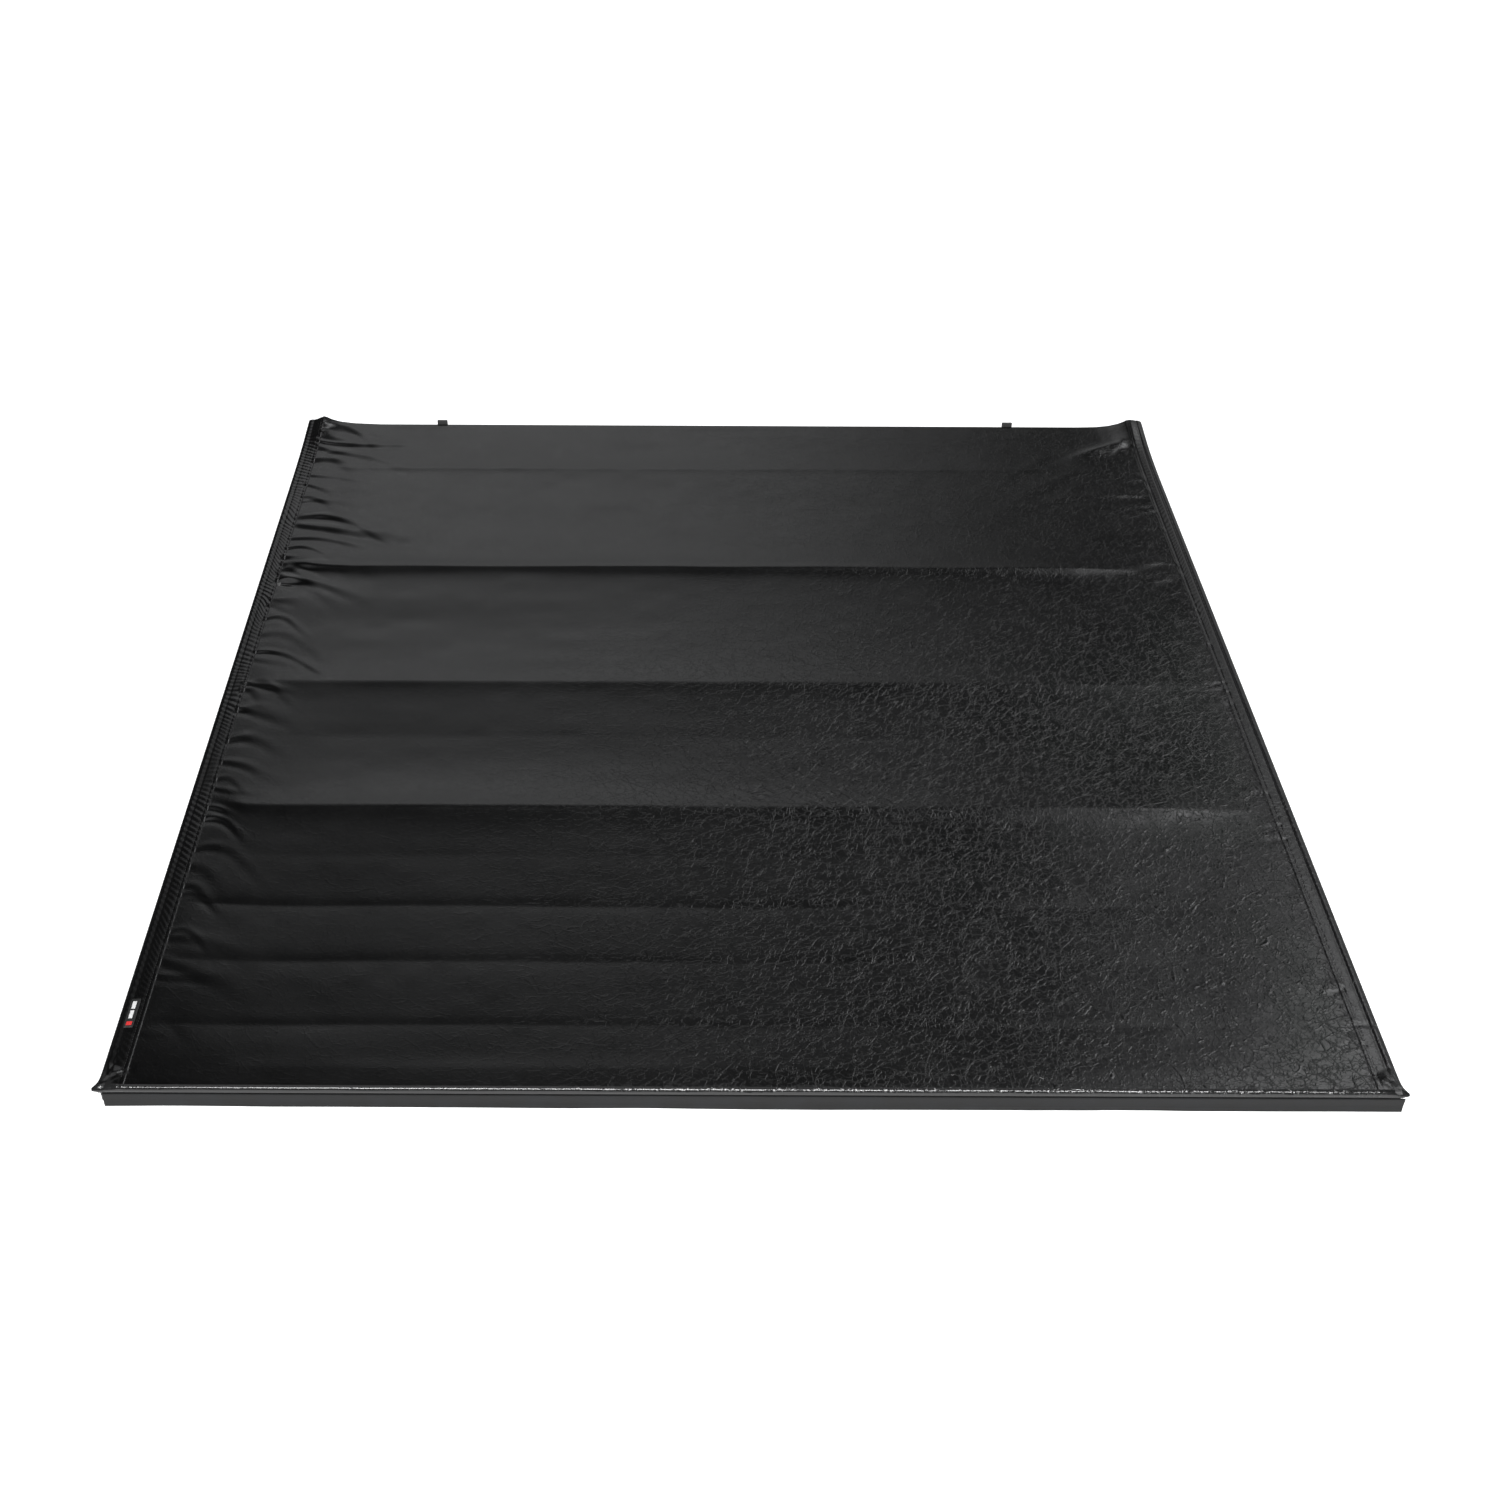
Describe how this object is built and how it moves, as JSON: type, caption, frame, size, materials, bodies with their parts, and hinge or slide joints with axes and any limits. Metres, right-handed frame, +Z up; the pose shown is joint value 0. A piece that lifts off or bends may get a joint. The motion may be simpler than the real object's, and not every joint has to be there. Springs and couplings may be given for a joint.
{
  "type": "tonneau cover",
  "caption": "Roll-up soft truck-bed cover: vinyl skin over bows and side rails, rolling in quarter turns towards the cab, with tail latches and bed clamps.",
  "frame": {"origin": "middle of the bulkhead seal's underside, in the plane of the bed rails' caps", "axes": "+X to the truck's right, +Y towards the cab, +Z up; the cover lies towards -Y"},
  "size_m": [1.69, 1.7596, 0.1329],
  "materials": {
    "skin": "leather-grained vinyl, satin",
    "hook_and_loop": "woven tape with hooks and loops",
    "black_rail": "satin black powder coat",
    "mill_aluminium": "extruded, mill finish",
    "zinc_steel": "zinc plated",
    "spring_steel": "drawn wire",
    "foam_seal": "closed-cell foam",
    "skirt_rubber": "smooth extruded rubber",
    "black_plastic": "moulded, fine grain",
    "webbing": "woven webbing",
    "cable_sheath": "smooth",
    "label_plate": "moulded, with a red spot"
  },
  "bodies": {
    "root": {"cover_front_panel": "skin", "loop_strips_front": "hook_and_loop", "bow_4": "mill_aluminium", "bow_4_plugs": "black_plastic", "header_rail": "black_rail", "bulkhead_seal": "foam_seal", "front_edge_cord": "black_plastic", "left_rail": "black_rail", "right_rail": "black_rail", "rail_seals": "foam_seal", "rail_hook_strips": "hook_and_loop", "corner_brackets": "zinc_steel", "frame_screws": "zinc_steel", "clamp_frames": "mill_aluminium", "storage_straps": "webbing", "strap_buckles": "black_plastic"},
    "panel_9": {"cover_panel_9": "skin", "loop_strips_9": "hook_and_loop"},
    "panel_8": {"cover_panel_8": "skin", "loop_strips_8": "hook_and_loop", "bow_3": "mill_aluminium", "bow_3_plugs": "black_plastic"},
    "panel_7": {"cover_panel_7": "skin", "loop_strips_7": "hook_and_loop", "bow_2": "mill_aluminium", "bow_2_plugs": "black_plastic"},
    "panel_6": {"cover_panel_6": "skin", "loop_strips_6": "hook_and_loop"},
    "panel_5": {"cover_panel_5": "skin", "loop_strips_5": "hook_and_loop", "bow_1": "mill_aluminium", "bow_1_plugs": "black_plastic"},
    "panel_4": {"cover_panel_4": "skin", "loop_strips_4": "hook_and_loop"},
    "panel_3": {"cover_panel_3": "skin", "loop_strips_3": "hook_and_loop"},
    "panel_2": {"cover_panel_2": "skin", "loop_strips_2": "hook_and_loop", "hem_label": "label_plate"},
    "panel_1": {"cover_panel_1": "skin", "loop_strips_1": "hook_and_loop", "rear_bar": "black_rail", "rear_bar_end_caps": "black_plastic", "rear_edge_cord": "black_plastic", "tail_skirt": "skirt_rubber", "latch_housings": "black_plastic", "latch_springs": "spring_steel", "release_bracket": "zinc_steel", "release_cables": "cable_sheath"},
    "bolt_left": {"latch_bolt_left": "zinc_steel"},
    "bolt_right": {"latch_bolt_right": "zinc_steel"},
    "lever": {"release_lever": "black_plastic"},
    "screw_left_rear": {"clamp_screw_left_rear": "zinc_steel"},
    "jaw_left_rear": {"clamp_jaw_left_rear": "mill_aluminium"},
    "screw_left_front": {"clamp_screw_left_front": "zinc_steel"},
    "jaw_left_front": {"clamp_jaw_left_front": "mill_aluminium"},
    "screw_right_rear": {"clamp_screw_right_rear": "zinc_steel"},
    "jaw_right_rear": {"clamp_jaw_right_rear": "mill_aluminium"},
    "screw_right_front": {"clamp_screw_right_front": "zinc_steel"},
    "jaw_right_front": {"clamp_jaw_right_front": "mill_aluminium"}
  },
  "joints": [
    {"name": "roll_up", "type": "hinge", "parent": "root", "child": "panel_9", "pos_m": [0, -0.235, 0.0403], "axis": [-1, 0, 0], "range_deg": [0, 90], "stiffness_Nm_per_rad": 63.2, "springref_deg": 90},
    {"name": "fold_8", "type": "hinge", "parent": "panel_9", "child": "panel_8", "pos_m": [0, -0.46367, 0.0403], "axis": [-1, 0, 0], "range_deg": [0, 90], "stiffness_Nm_per_rad": 50.6, "springref_deg": 90},
    {"name": "fold_7", "type": "hinge", "parent": "panel_8", "child": "panel_7", "pos_m": [0, -0.69211, 0.0403], "axis": [-1, 0, 0], "range_deg": [0, 90], "stiffness_Nm_per_rad": 39.2, "springref_deg": 90},
    {"name": "fold_6", "type": "hinge", "parent": "panel_7", "child": "panel_6", "pos_m": [0, -0.88556, 0.0403], "axis": [-1, 0, 0], "range_deg": [0, 90], "stiffness_Nm_per_rad": 30.1, "springref_deg": 90},
    {"name": "fold_5", "type": "hinge", "parent": "panel_6", "child": "panel_5", "pos_m": [0, -1.07878, 0.0403], "axis": [-1, 0, 0], "range_deg": [0, 90], "stiffness_Nm_per_rad": 22, "springref_deg": 90},
    {"name": "fold_4", "type": "hinge", "parent": "panel_5", "child": "panel_4", "pos_m": [0, -1.237, 0.0403], "axis": [-1, 0, 0], "range_deg": [0, 90], "stiffness_Nm_per_rad": 15.9, "springref_deg": 90},
    {"name": "fold_3", "type": "hinge", "parent": "panel_4", "child": "panel_3", "pos_m": [0, -1.395, 0.0403], "axis": [-1, 0, 0], "range_deg": [0, 90], "stiffness_Nm_per_rad": 10.3, "springref_deg": 90},
    {"name": "fold_2", "type": "hinge", "parent": "panel_3", "child": "panel_2", "pos_m": [0, -1.518, 0.0403], "axis": [-1, 0, 0], "range_deg": [0, 90], "stiffness_Nm_per_rad": 6.1, "springref_deg": 90},
    {"name": "fold_1", "type": "hinge", "parent": "panel_2", "child": "panel_1", "pos_m": [0, -1.608, 0.0403], "axis": [-1, 0, 0], "range_deg": [0, 90], "stiffness_Nm_per_rad": 3.2, "springref_deg": 90},
    {"name": "release_turn", "type": "hinge", "parent": "panel_1", "child": "lever", "pos_m": [0, -1.6755, 0.02], "axis": [0, 0, 1], "range_deg": [0, 70]},
    {"name": "bolt_left_slide", "type": "slide", "parent": "panel_1", "child": "bolt_left", "axis": [-1, 0, 0], "range_m": [0, 0.0132]},
    {"name": "bolt_right_slide", "type": "slide", "parent": "panel_1", "child": "bolt_right", "axis": [1, 0, 0], "range_m": [0, 0.0132]},
    {"name": "screw_left_rear_turn", "type": "hinge", "parent": "root", "child": "screw_left_rear", "pos_m": [-0.791, -1.425, -0.09], "axis": [0, 0, -1], "range_deg": [0, 4609]},
    {"name": "jaw_left_rear_slide", "type": "slide", "parent": "root", "child": "jaw_left_rear", "axis": [0, 0, 1], "range_m": [0, 0.016]},
    {"name": "screw_left_front_turn", "type": "hinge", "parent": "root", "child": "screw_left_front", "pos_m": [-0.791, -0.325, -0.09], "axis": [0, 0, -1], "range_deg": [0, 4609]},
    {"name": "jaw_left_front_slide", "type": "slide", "parent": "root", "child": "jaw_left_front", "axis": [0, 0, 1], "range_m": [0, 0.016]},
    {"name": "screw_right_rear_turn", "type": "hinge", "parent": "root", "child": "screw_right_rear", "pos_m": [0.791, -1.425, -0.09], "axis": [0, 0, -1], "range_deg": [0, 4609]},
    {"name": "jaw_right_rear_slide", "type": "slide", "parent": "root", "child": "jaw_right_rear", "axis": [0, 0, 1], "range_m": [0, 0.016]},
    {"name": "screw_right_front_turn", "type": "hinge", "parent": "root", "child": "screw_right_front", "pos_m": [0.791, -0.325, -0.09], "axis": [0, 0, -1], "range_deg": [0, 4609]},
    {"name": "jaw_right_front_slide", "type": "slide", "parent": "root", "child": "jaw_right_front", "axis": [0, 0, 1], "range_m": [0, 0.016]}
  ],
  "couplings": [
    {"joint": "fold_8", "follows": "roll_up", "ratio": 1},
    {"joint": "fold_7", "follows": "roll_up", "ratio": 1},
    {"joint": "fold_6", "follows": "roll_up", "ratio": 1},
    {"joint": "fold_5", "follows": "roll_up", "ratio": 1},
    {"joint": "fold_4", "follows": "roll_up", "ratio": 1},
    {"joint": "fold_3", "follows": "roll_up", "ratio": 1},
    {"joint": "fold_2", "follows": "roll_up", "ratio": 1},
    {"joint": "fold_1", "follows": "roll_up", "ratio": 1},
    {"joint": "bolt_left_slide", "follows": "release_turn", "m_per_rad": 0.0108},
    {"joint": "bolt_right_slide", "follows": "release_turn", "m_per_rad": 0.0108},
    {"joint": "screw_left_rear_turn", "follows": "jaw_left_rear_slide", "rad_per_m": 5026.5},
    {"joint": "screw_left_front_turn", "follows": "jaw_left_front_slide", "rad_per_m": 5026.5},
    {"joint": "screw_right_rear_turn", "follows": "jaw_right_rear_slide", "rad_per_m": 5026.5},
    {"joint": "screw_right_front_turn", "follows": "jaw_right_front_slide", "rad_per_m": 5026.5}
  ]
}
